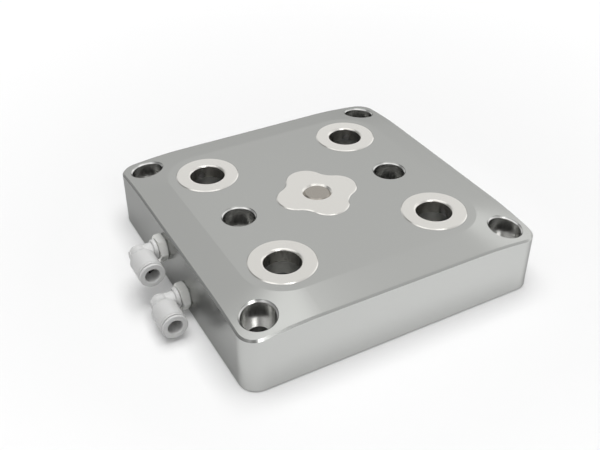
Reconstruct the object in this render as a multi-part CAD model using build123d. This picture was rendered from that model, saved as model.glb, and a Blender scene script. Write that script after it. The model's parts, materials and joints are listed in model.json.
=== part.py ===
"""Four-socket zero-point clamping plate, released by air and clamped by springs.

Units are millimetres.  The middle of the base is the origin, +Z is up, and the
two air fittings stand on the -X side with their tube ports facing -Y.
"""
import math
import os

from build123d import *

# Plate, from the sockets outwards
socket_pitch = 96.0
socket_margin = 42.0
overall_height = 40.0
land_rise = 0.5
corner_radius = 10.0
top_edge_chamfer = 1.0
base_edge_chamfer = 0.6
slope_run = 18.5
fall_angle = 10.0

# Sockets for the pull studs
socket_bore = 20.0
socket_relief = 0.2
bush_diameter = 37.0
bush_height = 8.0
bush_edge = 0.5
lead_in_width = 1.5
lead_in_depth = 1.0
drain_bore = 12.0
socket_floor = 9.0

# Bolt holes, one size at the corners and between the sockets
corner_bolt_inset = 14.0
middle_bolt_offset = 2.0
bolt_clearance_bore = 11.0
bolt_head_bore = 18.0
bolt_head_depth = 15.5
bolt_chamfer = 1.0

# Centre seat and its plug
seat_reach = 25.0
seat_lobe_radius = 12.0
seat_blend = 12.5
seat_thickness = 4.0
plug_bore = 15.4
plug_bore_chamfer = 1.0
plug_drop = 0.3
plug_thickness = 3.5
plug_edge = 0.8
plug_stem_gap = 0.5
access_bore = 10.0

# Cylinder, cover and piston
cylinder_bore = 60.0
roof_thickness = 5.0
cover_margin = 11.0
cover_corner = 8.0
cover_recess = 4.2
cover_sink = 0.3
piston_thickness = 6.0
piston_rest_gap = 0.2
piston_stroke = 5.0
boss_radius = 8.5
boss_drop = 1.8
boss_side_gap = 0.5
running_clearance = 0.05

# Wedge and lock slides
wedge_ratio = 0.5
wedge_foot_half = 11.8
wedge_corner_half = 17.6
wedge_rise = 0.4
jack_thread = 6.8
jack_depth = 4.0
slide_width = 14.0
slide_height = 8.2
slide_reach = 2.3
slide_tip_break = 0.8
slide_side_break = 2.5
nose_length = 4.0
nose_drop = 2.4
tee_gap = 0.1
tee_neck = 5.2
tee_head = 9.0
tee_lip = 2.4
tee_pocket = 2.8
tee_join = 0.5

# Clamping springs
spring_wall = 1.2
spring_outer = 10.4
spring_wire_width = 1.6
spring_wire_height = 1.5
spring_pitch = 4.2
spring_seat = 1.0
spring_side_gap = 0.2
spring_end_gap = 0.05

# Screws
screw_hole_gap = 0.2
screw_end_gap = 1.0
head_sink = 0.2
cover_screw_inset = 8.0
cover_screw_radius = 2.45
cover_screw_end = 13.0
cover_head_radius = 5.0
cover_head_height = 2.5
cover_hex = 3.0
cover_hex_depth = 1.8
seat_screw_radius = 1.95
seat_thread_depth = 3.0
seat_head_radius = 3.8
seat_head_height = 2.2
seat_hex = 2.5
seat_hex_depth = 1.4
piston_screw_radius = 2.95
piston_thread_depth = 9.0
piston_head_radius = 5.0
piston_head_recess = 4.1
piston_hex = 5.0
piston_hex_depth = 3.0

# Seals
seal_section = 1.9
seal_gap = 0.05
cover_seal_offset = 8.0
plug_seal_section = 1.5
plug_seal_offset = 1.45

# Air ports
port_offset = 14.65
upper_port_height = 23.4
lower_port_height = 10.0
port_thread = 9.73
port_depth = 9.5
port_mouth = 0.5
air_bore = 4.0
riser_bore = 3.0
riser_wall = 0.8

# Threaded studs of the fittings
stud_thread_gap = 1.5
stud_bore = 3.8
hex_across_flats = 14.0
hex_thickness = 4.4
hex_stand_off = 0.4
hex_angle = 63.0
hex_break = 0.5
hex_inset = 0.15
gasket_diameter = 12.8
gasket_gap = 0.02
spigot_diameter = 7.0
spigot_end = 13.0
swivel_seal_section = 1.0
swivel_seal_rise = 4.0

# Elbows and release sleeves
elbow_axis_out = 15.0
elbow_reach = 22.0
elbow_bore = 5.6
elbow_diameter = 14.5
elbow_front_round = 0.5
head_diameter = 10.6
shoulder_start = 2.6
shoulder_end = 6.3
shoulder_round = 1.5
neck_diameter = 9.2
neck_blend = 1.0
bead_diameter = 11.8
bead_width = 2.3
bead_gap = 0.15
bead_round = 0.9
bead_edge = 0.3
cap_diameter = 6.0
cap_flat = 4.4
cap_proud = 0.65
cap_round = 0.3
elbow_seat_depth = 17.0
tube_diameter = 8.0
tube_gap = 0.05
tube_seal_room = 2.6
tube_seal_start = 4.6
tube_seal_diameter = 11.1
grip_room_diameter = 11.8
grip_diameter = 11.7
grip_tooth_diameter = 8.6
grip_thickness = 0.8
grip_edge = 0.6
grip_hoop = 1.2
grip_length = 3.2
step_back = 1.3
step_width = 0.2
sleeve_travel = 0.6
sleeve_play = 0.1
sleeve_diameter = 9.6
sleeve_start = 1.7
sleeve_nose = 0.4
flange_thickness = 1.4
flange_round = 0.6
flange_inset = 0.1
mouth_chamfer = 0.5

# Levels and radii worked out from the sizes above
top_level = overall_height - land_rise
side = socket_pitch + 2 * socket_margin
half = side / 2
flat_half = half - slope_run
socket_half = socket_pitch / 2
socket_radius_out = socket_half * math.sqrt(2)
bush_foot = overall_height - bush_height
socket_wall = socket_bore / 2 + socket_relief
seat_floor = overall_height - seat_thickness
lobe_centre = seat_reach - seat_lobe_radius
roof_height = seat_floor - roof_thickness
bolt_head_floor = overall_height - bolt_head_depth
corner_bolt_half = half - corner_bolt_inset
middle_bolt_half = socket_half + middle_bolt_offset
cover_half = cylinder_bore / 2 + cover_margin
cover_screw_half = cover_half - cover_screw_inset
spring_circle = cylinder_bore / 2 - spring_outer / 2 - spring_wall
piston_radius = cylinder_bore / 2 - running_clearance
piston_foot = cover_recess + piston_rest_gap
piston_top = piston_foot + piston_thickness
slide_floor = piston_top + piston_stroke + 4 * running_clearance
slide_top = slide_floor + slide_height
wedge_top = slide_top + wedge_rise
groove_width = seal_section + 2 * seal_gap
plate_corners = [(-1, -1), (1, -1), (-1, 1), (1, 1)]
corner_names = ["front_left", "front_right", "back_left", "back_right"]
middle_sides = [(1, 0), (-1, 0), (0, 1), (0, -1)]
sockets = [(socket_half * x, socket_half * y) for x, y in plate_corners]
bolt_spots = [(corner_bolt_half * x, corner_bolt_half * y) for x, y in plate_corners]
bolt_spots += [(-middle_bolt_half, 0.0), (middle_bolt_half, 0.0)]
spring_spots = [(spring_circle * x, spring_circle * y) for x, y in middle_sides]
cover_screw_spots = [(cover_screw_half * x, cover_screw_half * y) for x, y in plate_corners]
seat_screw_spots = [(lobe_centre * x, lobe_centre * y) for x, y in middle_sides]
upper_port = Plane((-half, port_offset, upper_port_height), (0, 1, 0), (-1, 0, 0))
lower_port = Plane((-half, -port_offset, lower_port_height), (0, 1, 0), (-1, 0, 0))
ports = {"upper": upper_port, "lower": lower_port}

os.makedirs("parts", exist_ok=True)


def save(name, shape):
    """Write one sub-component to its STEP file."""
    shape.label = name
    export_step(shape, f"parts/{name}.step")


def cylinder(radius, low, high, x=0.0, y=0.0):
    """Upright cylinder between two levels."""
    height = high - low
    return Pos(x, y, low + height / 2) * Cylinder(radius, height)


def ring(outer, inner, low, high):
    """Upright ring between two radii and two levels."""
    return cylinder(outer, low, high) - cylinder(inner, low - 1, high + 1)


def cone(low_radius, high_radius, low, high, x=0.0, y=0.0):
    """Upright cone frustum between two levels."""
    height = high - low
    return Pos(x, y, low + height / 2) * Cone(low_radius, high_radius, height)


def block(half_x, half_y, low, high, radius=0.0):
    """Upright block on the plate's axis, with rounded corners where asked."""
    if radius:
        profile = RectangleRounded(2 * half_x, 2 * half_y, radius)
    else:
        profile = Rectangle(2 * half_x, 2 * half_y)
    return Pos(0, 0, low) * extrude(profile, high - low)


def diagonal(corner):
    """Turn about Z that carries +X onto the diagonal through a socket."""
    return Rot(0, 0, math.degrees(math.atan2(corner[1], corner[0])))


def radial_solid(outline, width):
    """Extrude an outline of (radius, height) points evenly about the XZ plane."""
    face = make_face(Polyline(*[(r, 0, z) for r, z in outline], close=True))
    return extrude(face, width / 2, dir=(0, 1, 0), both=True)


def rim_edges(solid, x, y, radius, low, high):
    """Edges that run round one upright hole between two levels."""
    found = []
    for edge in solid.edges():
        box = edge.bounding_box()
        spot = edge.position_at(0.5)
        on_rim = abs(math.hypot(spot.X - x, spot.Y - y) - radius) < 0.02
        if on_rim and box.min.Z > low and box.max.Z < high:
            found.append(edge)
    return found


def level_edges(solid, level):
    """Edges that lie flat at one level."""
    found = []
    for edge in solid.edges():
        box = edge.bounding_box()
        if abs(box.min.Z - level) < 0.01 and abs(box.max.Z - level) < 0.01:
            found.append(edge)
    return found


def placed(plane, shape):
    """Move a shape built about the origin's +Z axis onto a plane."""
    return plane.location * shape


def turned(outline):
    """Revolve an outline of (radius, height) points about +Z."""
    face = make_face(Polyline(*[(r, 0, h) for r, h in outline], close=True))
    return revolve(face, Axis.Z)


def seal_ring(centre_radius, level, section=seal_section):
    """Round-section sealing ring about +Z."""
    return Pos(0, 0, level) * Torus(centre_radius, section / 2)


def hex_prism(across_flats, low, high, turn=0.0):
    """Hexagonal prism about +Z."""
    profile = RegularPolygon(across_flats / math.sqrt(3), 6, rotation=turn)
    return Pos(0, 0, low) * extrude(profile, high - low)


def countersunk_screw(spot, foot, end, radius, head_radius, head_height, socket, socket_depth):
    """Countersunk screw that stands on its head at one level."""
    x, y = spot
    screw = cylinder(radius, foot, end, x, y)
    screw += cone(head_radius, radius, foot, foot + head_height, x, y)
    return screw - Pos(x, y, foot) * hex_prism(socket, -1, socket_depth)


def wedge_half(level):
    """Distance of a wedge face from the axis at a level, clamped."""
    return wedge_foot_half + wedge_ratio * (level - piston_top)


def along_face(inner, outer, low, high):
    """Outline between two depths under a wedge face and two levels."""
    return [
        (wedge_half(low) - inner, low),
        (wedge_half(low) - outer, low),
        (wedge_half(high) - outer, high),
        (wedge_half(high) - inner, high),
    ]


# Housing: outline, sloping top and edge breaks
slope_width = socket_margin
slope_foot = top_level - slope_width * math.tan(math.radians(fall_angle))
wide_half = flat_half + slope_width
flat_corner = flat_half - socket_half
housing = extrude(RectangleRounded(side, side, corner_radius), top_level)
wide_square = RectangleRounded(2 * wide_half, 2 * wide_half, flat_corner + slope_width)
flat_square = RectangleRounded(2 * flat_half, 2 * flat_half, flat_corner)
crown = loft([Pos(0, 0, slope_foot) * wide_square, Pos(0, 0, top_level) * flat_square], ruled=True)
housing -= block(side, side, slope_foot, overall_height) - crown
top_rim = []
for edge in housing.edges():
    spot = edge.position_at(0.5)
    near_side = half - max(abs(spot.X), abs(spot.Y)) < corner_radius / 3
    if near_side and edge.bounding_box().min.Z > slope_foot:
        top_rim.append(edge)
housing = chamfer(top_rim, top_edge_chamfer)
housing = chamfer(level_edges(housing, 0), base_edge_chamfer)

# Sockets: seat for the bush, relieved bore, drain
for x, y in sockets:
    housing -= cylinder(bush_diameter / 2, bush_foot, overall_height, x, y)
    housing -= cylinder(socket_wall, socket_floor, overall_height, x, y)
    housing -= cylinder(drain_bore / 2, -1, overall_height, x, y)

# Bolt holes with their head bores
for x, y in bolt_spots:
    housing -= cylinder(bolt_clearance_bore / 2, -1, overall_height, x, y)
    housing -= cylinder(bolt_head_bore / 2, bolt_head_floor, overall_height, x, y)
bolt_rims = []
for x, y in bolt_spots:
    bolt_rims += rim_edges(housing, x, y, bolt_head_bore / 2, bolt_head_floor + 1, overall_height)
housing = chamfer(bolt_rims, bolt_chamfer)

# Pocket for the centre seat
blend_sum = seat_lobe_radius + seat_blend
blend_spot = (lobe_centre + math.sqrt(2 * blend_sum**2 - lobe_centre**2)) / 2
blend_turn = math.atan2(blend_spot, blend_spot - lobe_centre)
blend_x = lobe_centre + seat_lobe_radius * math.cos(blend_turn)
blend_y = seat_lobe_radius * math.sin(blend_turn)
waist = blend_spot - seat_blend / math.sqrt(2)
lobe = ThreePointArc((blend_x, -blend_y), (seat_reach, 0), (blend_x, blend_y))
blend = ThreePointArc((blend_x, blend_y), (waist, waist), (blend_y, blend_x))
quarters = []
for turn in range(4):
    quarters += [Rot(0, 0, 90 * turn) * lobe, Rot(0, 0, 90 * turn) * blend]
seat_profile = make_face(Curve(children=quarters).edges())
housing -= Pos(0, 0, seat_floor) * extrude(seat_profile, seat_thickness)
housing -= cylinder(access_bore / 2, roof_height - 1, overall_height)

# Cylinder, cover recess and spring seats
spring_bore = spring_outer / 2 + spring_side_gap
housing -= cylinder(cylinder_bore / 2, 0, roof_height)
for x, y in spring_spots:
    housing -= cylinder(spring_bore, roof_height - 1, roof_height + spring_seat, x, y)
recess_half = cover_half + running_clearance
housing -= block(recess_half, recess_half, -1, cover_recess, cover_corner)

# Channels that guide the lock slides from the cylinder to the sockets
channel_low = slide_floor - running_clearance
channel_high = slide_top + running_clearance
channel_inner = cylinder_bore / 4
channel_outer = socket_radius_out - socket_bore / 4
channel_outline = [
    (channel_inner, channel_low),
    (channel_outer, channel_low),
    (channel_outer, channel_high),
    (channel_inner, channel_high),
]
channel = radial_solid(channel_outline, slide_width + 2 * running_clearance)
for corner in plate_corners:
    housing -= diagonal(corner) * channel

# Air ports, the release feed under the piston and the purge feed above it
port_radius = port_thread / 2
for port in ports.values():
    housing -= placed(port, cylinder(port_radius, -port_depth, 1))
    housing -= placed(port, cone(port_radius, port_radius + port_mouth, -port_mouth, 0))
riser_radius = cylinder_bore / 2 + riser_bore + riser_wall
riser_x = -math.sqrt(riser_radius**2 - port_offset**2)
riser_turn = math.degrees(math.atan2(-port_offset, riser_x))
feed_slot = Pos(riser_radius / 2, 0, cover_recess) * Box(riser_radius, riser_bore, riser_bore)
housing -= placed(lower_port, cylinder(air_bore / 2, -half - riser_x, 0))
housing -= cylinder(riser_bore / 2, 0, lower_port_height, riser_x, -port_offset)
housing -= Rot(0, 0, riser_turn) * feed_slot
housing -= placed(upper_port, cylinder(air_bore / 2, -half + cylinder_bore / 3, 0))

# Screw holes in the housing
seat_thread_end = seat_floor + seat_thread_depth
seat_head_foot = roof_height + head_sink
seat_hole = seat_screw_radius + screw_hole_gap
seat_sink = seat_head_radius + screw_hole_gap
for x, y in cover_screw_spots:
    housing -= cylinder(cover_screw_radius, 0, cover_screw_end + screw_end_gap, x, y)
for x, y in seat_screw_spots:
    housing -= cylinder(seat_hole, roof_height - 1, seat_floor + 1, x, y)
    housing -= cone(seat_sink, seat_hole, roof_height, seat_head_foot + seat_head_height, x, y)
save("housing", housing)

# Socket bushes with a rounded lead-in
bush_outer = bush_diameter / 2
bush_inner = socket_bore / 2
mouth_level = overall_height - lead_in_depth
lead_radius = (lead_in_width**2 + lead_in_depth**2) / (2 * lead_in_depth)
lead_turn = (math.pi / 2 + math.acos(-lead_in_width / lead_radius)) / 2
lead_x = bush_inner + lead_in_width + lead_radius * math.cos(lead_turn)
lead_level = overall_height - lead_radius + lead_radius * math.sin(lead_turn)
lead_in = ThreePointArc(
    (bush_inner, 0, mouth_level),
    (lead_x, 0, lead_level),
    (bush_inner + lead_in_width, 0, overall_height),
)
bush_lines = Polyline(
    (bush_inner + lead_in_width, 0, overall_height),
    (bush_outer - bush_edge, 0, overall_height),
    (bush_outer, 0, overall_height - bush_edge),
    (bush_outer, 0, bush_foot),
    (bush_inner, 0, bush_foot),
    (bush_inner, 0, mouth_level),
)
bush = revolve(make_face(bush_lines + lead_in), Axis.Z)
for name, (x, y) in zip(corner_names, sockets):
    save(f"socket_bush_{name}", Pos(x, y, 0) * bush)

# Centre seat and the screws that hold it from below
seat = Pos(0, 0, seat_floor) * extrude(seat_profile, seat_thickness)
seat = chamfer(level_edges(seat, overall_height), bush_edge)
seat -= cylinder(plug_bore / 2, 0, overall_height)
bore_rim = rim_edges(seat, 0, 0, plug_bore / 2, overall_height - 0.1, overall_height + 0.1)
seat = chamfer(bore_rim, plug_bore_chamfer)
for x, y in seat_screw_spots:
    seat -= cylinder(seat_screw_radius, 0, seat_thread_end, x, y)
save("centre_seat", seat)

seat_screws = []
for spot in seat_screw_spots:
    seat_screws.append(
        countersunk_screw(
            spot,
            seat_head_foot,
            seat_thread_end - screw_hole_gap,
            seat_screw_radius,
            seat_head_radius,
            seat_head_height,
            seat_hex,
            seat_hex_depth,
        )
    )
save("seat_screws", Compound(children=seat_screws))

# Centre plug and its seal
plug_top = overall_height - plug_drop
plug_foot = plug_top - plug_thickness
plug = cylinder(plug_bore / 2 - running_clearance, plug_foot, plug_top)
plug = chamfer(level_edges(plug, plug_top), plug_edge)
plug += cylinder(access_bore / 2 - running_clearance, roof_height + plug_stem_gap, plug_foot)
plug_seal_radius = access_bore / 2 + plug_seal_offset
plug_groove_half = plug_seal_section / 2 + seal_gap
plug_seal_level = seat_floor + plug_groove_half
plug -= ring(
    plug_seal_radius + plug_groove_half,
    plug_seal_radius - plug_groove_half,
    seat_floor,
    plug_seal_level + plug_groove_half,
)
save("centre_plug", plug)
save("plug_seal", seal_ring(plug_seal_radius, plug_seal_level, plug_seal_section))

# Base cover, its seal and screws
cover_face = cover_recess
cover_head_foot = cover_sink + head_sink
cover_seal_radius = cylinder_bore / 2 + cover_seal_offset
cover = block(cover_half, cover_half, cover_sink, cover_face, cover_corner)
cover -= cylinder(boss_radius + boss_side_gap, cover_face - boss_drop - piston_rest_gap, cover_face)
cover -= ring(
    cover_seal_radius + groove_width / 2,
    cover_seal_radius - groove_width / 2,
    cover_face - groove_width,
    cover_face,
)
cover_head_top = cover_head_foot + cover_head_height
for x, y in cover_screw_spots:
    cover -= cylinder(cover_screw_radius + screw_hole_gap, 0, cover_face, x, y)
    cover -= cone(cover_head_radius, cover_screw_radius, cover_head_foot, cover_head_top, x, y)
    cover -= cylinder(cover_head_radius, 0, cover_head_foot, x, y)
save("base_cover", cover)
save("cover_seal", seal_ring(cover_seal_radius, cover_face - groove_width / 2))

cover_screws = []
for spot in cover_screw_spots:
    cover_screws.append(
        countersunk_screw(
            spot,
            cover_head_foot,
            cover_screw_end,
            cover_screw_radius,
            cover_head_radius,
            cover_head_height,
            cover_hex,
            cover_hex_depth,
        )
    )
save("cover_screws", Compound(children=cover_screws))

# Piston with its seal groove, spring seats and screw recess
boss_foot = piston_foot - boss_drop
piston_middle = piston_foot + piston_thickness / 2
piston_recess_top = piston_foot + piston_head_recess
piston = cylinder(piston_radius, piston_foot, piston_top)
piston += cylinder(boss_radius, boss_foot, piston_foot)
piston -= ring(
    piston_radius + 1,
    piston_radius - groove_width,
    piston_middle - groove_width / 2,
    piston_middle + groove_width / 2,
)
for x, y in spring_spots:
    piston -= cylinder(spring_bore, piston_top - spring_seat, piston_top, x, y)
piston -= cylinder(piston_head_radius + screw_hole_gap, 0, piston_recess_top)
piston -= cylinder(piston_screw_radius + screw_hole_gap, 0, piston_top)
save("piston", piston)
piston_seal_radius = piston_radius - seal_section / 2 - seal_gap / 2
save("piston_seal", seal_ring(piston_seal_radius, piston_middle))

# Wedge block with four T-slots on its sloping faces
wedge_ends = []
for level in (piston_top, wedge_top):
    wedge_ends.append(Pos(0, 0, level) * Rectangle(2 * wedge_half(level), 2 * wedge_half(level)))
wedge = Rot(0, 0, 45) * loft(wedge_ends, ruled=True)
wedge &= block(wedge_corner_half, wedge_corner_half, piston_top, wedge_top)
slot_low = piston_top - 1
slot_high = wedge_top + 1
neck_outline = along_face(tee_lip + tee_gap, -tee_lip, slot_low, slot_high)
head_outline = along_face(tee_lip + tee_pocket, tee_lip, slot_low, slot_high)
neck_slot = radial_solid(neck_outline, tee_neck + 2 * tee_gap)
head_slot = radial_solid(head_outline, tee_head + 2 * tee_gap)
for corner in plate_corners:
    wedge -= diagonal(corner) * neck_slot
    wedge -= diagonal(corner) * head_slot
piston_thread_end = piston_top + piston_thread_depth
wedge -= cylinder(piston_screw_radius, piston_top, piston_thread_end + screw_hole_gap)
wedge -= cylinder(jack_thread / 2, wedge_top - jack_depth, wedge_top)
save("wedge_block", wedge)

piston_head_foot = boss_foot + head_sink
piston_screw = cylinder(piston_head_radius, piston_head_foot, piston_recess_top)
piston_screw += cylinder(piston_screw_radius, piston_recess_top, piston_thread_end)
piston_screw -= hex_prism(piston_hex, 0, piston_head_foot + piston_hex_depth)
save("piston_screw", piston_screw)

# Lock slides: guided bar, bevelled nose and the T-head that rides in the wedge
slide_tip = socket_radius_out - socket_wall + slide_reach
slide_outline = [
    (wedge_half(slide_floor) + tee_gap, slide_floor),
    (slide_tip - slide_tip_break, slide_floor),
    (slide_tip, slide_floor + slide_tip_break),
    (slide_tip, slide_top - nose_drop),
    (slide_tip - nose_length, slide_top),
    (wedge_half(slide_top) + tee_gap, slide_top),
]
slide = radial_solid(slide_outline, slide_width)
upright = slide.edges().filter_by(Axis.Z)
slide = chamfer([e for e in upright if e.position_at(0.5).X > slide_tip - 0.01], slide_side_break)
tee_low = slide_floor + tee_gap
tee_high = slide_top - tee_gap
neck_outline = along_face(tee_lip + tee_join, -tee_join, tee_low, tee_high)
head_outline = along_face(tee_lip + tee_pocket - tee_gap, tee_lip + tee_gap, tee_low, tee_high)
slide += radial_solid(neck_outline, tee_neck)
slide += radial_solid(head_outline, tee_head)
for name, corner in zip(corner_names, plate_corners):
    save(f"lock_slide_{name}", diagonal(corner) * slide)

# Clamping springs, flat wire with ground ends
spring_foot = piston_top - spring_seat + spring_end_gap
spring_head = roof_height + spring_seat - spring_end_gap
wire_radius = spring_outer / 2 - spring_wire_width / 2
helix = Helix(spring_pitch, spring_head - spring_foot + spring_pitch, wire_radius)
wire_plane = Plane(helix @ 0, x_dir=(1, 0, 0), z_dir=helix % 0)
wire = wire_plane * Rectangle(spring_wire_width, spring_wire_height)
coil = sweep(wire, path=helix, is_frenet=True)
coil = Pos(0, 0, spring_foot - spring_pitch / 2) * coil
coil &= cylinder(spring_outer, spring_foot, spring_head)
for name, (x, y) in zip(["right", "left", "back", "front"], spring_spots):
    save(f"clamp_spring_{name}", Pos(x, y, 0) * coil)

# Threaded stud with its hexagonal collar, built about +Z with the plate's side at 0
hex_foot = hex_stand_off
hex_face = hex_foot + hex_thickness
hex_corner = hex_across_flats / math.sqrt(3) + hex_inset
hex_flat = hex_across_flats / 2 - hex_inset
spigot_radius = spigot_diameter / 2
swivel_seal_level = hex_face + swivel_seal_rise
swivel_groove_half = swivel_seal_section / 2 + seal_gap
collar = hex_prism(hex_across_flats, hex_foot, hex_face, -hex_angle)
collar &= turned(
    [
        (0, hex_foot),
        (hex_flat, hex_foot),
        (hex_corner, hex_foot + hex_break),
        (hex_corner, hex_face - hex_break),
        (hex_flat, hex_face),
        (0, hex_face),
    ]
)
stud = collar + cylinder(port_radius, -port_depth + stud_thread_gap, hex_foot)
stud += cylinder(spigot_radius, hex_face, spigot_end)
stud -= ring(
    spigot_radius + 1,
    spigot_radius - 2 * swivel_groove_half,
    swivel_seal_level - swivel_groove_half,
    swivel_seal_level + swivel_groove_half,
)
stud -= cylinder(stud_bore / 2, -port_depth, spigot_end)
swivel_seal = seal_ring(
    spigot_radius - swivel_seal_section / 2, swivel_seal_level, swivel_seal_section
)
gasket_bore = port_radius + port_mouth + gasket_gap
gasket = ring(gasket_diameter / 2, gasket_bore, gasket_gap, hex_foot - gasket_gap)

# Elbow parts built about their own axes: barrel and head, neck, bead and end cap
barrel_radius = elbow_diameter / 2
barrel_end = elbow_reach - flange_thickness - sleeve_travel - sleeve_play
head_radius = head_diameter / 2
head_turn = head_radius / math.sqrt(2)
body_lines = Polyline(
    (head_radius, 0, 0),
    (head_radius, 0, shoulder_start),
    (barrel_radius, 0, shoulder_end),
    (barrel_radius, 0, barrel_end),
    (0, 0, barrel_end),
    (0, 0, -head_radius),
)
head_arc = ThreePointArc((0, 0, -head_radius), (head_turn, 0, -head_turn), (head_radius, 0, 0))
barrel = revolve(make_face(body_lines + head_arc), Axis.Z)
shoulder_edges = level_edges(barrel, shoulder_start) + level_edges(barrel, shoulder_end)
barrel = fillet(shoulder_edges, shoulder_round)
barrel = fillet(level_edges(barrel, barrel_end), elbow_front_round)
step_end = barrel_end - step_back
barrel -= ring(barrel_radius + 1, barrel_radius - step_width, step_end - step_width, step_end)

cap_radius = cap_diameter / 2
cap_end = elbow_axis_out + cap_flat + cap_proud
cap = cylinder(cap_radius, elbow_axis_out, cap_end)
cap = fillet(level_edges(cap, cap_end), cap_round)
bead_foot = hex_face + bead_gap
bead_end = bead_foot + bead_width
bead = cylinder(bead_diameter / 2, bead_foot, bead_end)
bead = fillet(level_edges(bead, bead_end), bead_round)
bead = fillet(level_edges(bead, bead_foot), bead_edge)
neck = cylinder(neck_diameter / 2, bead_end, elbow_axis_out)

# Passages of the elbow: tube seat, seal room and grip room behind the mouth
tube_stop = elbow_reach - elbow_seat_depth
seal_low = tube_stop + tube_seal_start
grip_low = seal_low + tube_seal_room
tube_wall = tube_diameter / 2 + tube_gap
tube_easy = tube_diameter / 2 + 2 * tube_gap
passages = cylinder(elbow_bore / 2, -stud_bore / 2, tube_stop)
passages += cylinder(tube_wall, tube_stop, seal_low)
passages += cylinder(tube_seal_diameter / 2 + tube_gap, seal_low, grip_low)
passages += cylinder(grip_room_diameter / 2, grip_low, barrel_end)

# Soft seal, toothed grip and release sleeve inside the elbow's mouth
tube_seal = ring(tube_seal_diameter / 2, tube_easy, seal_low + tube_gap, grip_low - 2 * tube_gap)
grip_foot = grip_low + tube_gap
grip_end = grip_foot + grip_length
grip_bend = grip_end - grip_hoop
grip_outer = grip_diameter / 2
grip_inner = grip_outer - grip_thickness
grip_tooth = grip_tooth_diameter / 2
grip = turned(
    [
        (grip_outer, grip_end),
        (grip_outer, grip_bend),
        (grip_tooth + grip_edge, grip_foot),
        (grip_tooth, grip_foot),
        (grip_inner, grip_bend),
        (grip_inner, grip_end),
    ]
)
flange_foot = elbow_reach - flange_thickness
flange = cylinder(barrel_radius - flange_inset, flange_foot, elbow_reach)
flange = fillet(level_edges(flange, elbow_reach), flange_round)
sleeve_foot = grip_foot + sleeve_start
sleeve_radius = sleeve_diameter / 2
sleeve = flange + cylinder(sleeve_radius, sleeve_foot + sleeve_nose, flange_foot)
sleeve += cone(sleeve_radius - sleeve_nose, sleeve_radius, sleeve_foot, sleeve_foot + sleeve_nose)
sleeve -= cylinder(tube_easy, 0, elbow_reach)
sleeve -= cone(tube_easy, tube_easy + mouth_chamfer, elbow_reach - mouth_chamfer, elbow_reach)

# Elbow joined about the stud's axis, then both fittings placed on their ports
tube_axis = Plane((0, 0, elbow_axis_out), (0, 0, -1), (-1, 0, 0))
elbow = placed(tube_axis, barrel) - cylinder(cap_radius, cap_end, cap_end + head_radius)
elbow += neck
neck_edges = []
for edge in elbow.edges():
    spots = [edge.position_at(t / 4) for t in range(5)]
    on_neck = max(abs(math.hypot(spot.X, spot.Y) - neck_diameter / 2) for spot in spots) < 0.01
    if on_neck and min(spot.Z for spot in spots) > bead_end + 0.1:
        neck_edges.append(edge)
elbow = fillet(neck_edges, neck_blend)
elbow += cap
elbow += bead
elbow -= cylinder(spigot_radius + running_clearance, 0, spigot_end + bead_gap)
elbow -= placed(tube_axis, passages)
for level, port in ports.items():
    save(f"port_stud_{level}", placed(port, stud))
    save(f"port_gasket_{level}", placed(port, gasket))
    save(f"swivel_seal_{level}", placed(port, swivel_seal))
    save(f"elbow_{level}", placed(port, elbow))
    save(f"tube_seal_{level}", placed(port, placed(tube_axis, tube_seal)))
    save(f"tube_grip_{level}", placed(port, placed(tube_axis, grip)))
    save(f"release_sleeve_{level}", placed(port, placed(tube_axis, sleeve)))
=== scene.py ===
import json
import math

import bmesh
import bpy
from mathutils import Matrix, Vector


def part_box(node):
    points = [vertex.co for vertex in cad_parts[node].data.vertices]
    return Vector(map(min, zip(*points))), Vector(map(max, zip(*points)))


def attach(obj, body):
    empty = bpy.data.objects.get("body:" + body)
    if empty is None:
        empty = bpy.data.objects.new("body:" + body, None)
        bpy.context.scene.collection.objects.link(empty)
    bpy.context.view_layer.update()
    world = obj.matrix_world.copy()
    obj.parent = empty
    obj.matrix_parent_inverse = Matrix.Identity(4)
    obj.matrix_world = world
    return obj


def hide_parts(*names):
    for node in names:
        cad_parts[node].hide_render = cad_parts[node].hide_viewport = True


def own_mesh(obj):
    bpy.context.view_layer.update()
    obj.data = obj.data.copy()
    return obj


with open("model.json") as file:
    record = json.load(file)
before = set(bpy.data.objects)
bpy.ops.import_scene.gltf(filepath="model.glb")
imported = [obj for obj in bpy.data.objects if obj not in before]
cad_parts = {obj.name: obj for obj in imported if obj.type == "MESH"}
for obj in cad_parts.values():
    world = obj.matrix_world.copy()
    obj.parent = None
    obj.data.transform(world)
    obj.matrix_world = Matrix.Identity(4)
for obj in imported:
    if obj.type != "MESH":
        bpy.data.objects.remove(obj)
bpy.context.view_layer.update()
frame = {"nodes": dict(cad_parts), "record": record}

# %% [markdown]
# The plate comes from the drawing model: every rigid part is already here as a
# mesh in metres, with the middle of the base at the origin.  This file dresses
# those parts in their real finishes, adds the small repeated hardware that a
# drawing leaves plain, and sets up a table-top photograph.

MM = 0.001
nodes = frame["nodes"]

# %% [markdown]
# A photograph is taken from one place.  The camera's height, distance and angle
# were worked out from how round the four sockets look and how far apart they
# are, so the render lines up with the picture.  A 50 mm lens on a 36 mm wide
# sensor is a plain, slightly long view with little distortion.

# %% Camera


def stand(name, data):
    """Put a new object into the scene, at the origin and unturned."""
    thing = bpy.data.objects.new(name, data)
    bpy.context.scene.collection.objects.link(thing)
    return thing


camera_spot = Vector((-203.41, -349.05, 304.08)) * MM
camera_target = Vector((-24.686, -24.368, 40.0)) * MM
sight = camera_target - camera_spot
camera_data = bpy.data.cameras.new("camera")
camera_data.lens = 50.0
camera_data.sensor_width = 36.0
camera = stand("camera", camera_data)
camera.location = camera_spot
camera.rotation_euler = sight.to_track_quat("-Z", "Y").to_euler()
bpy.context.scene.camera = camera
print("camera distance:", round(sight.length, 3), "m")

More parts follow.
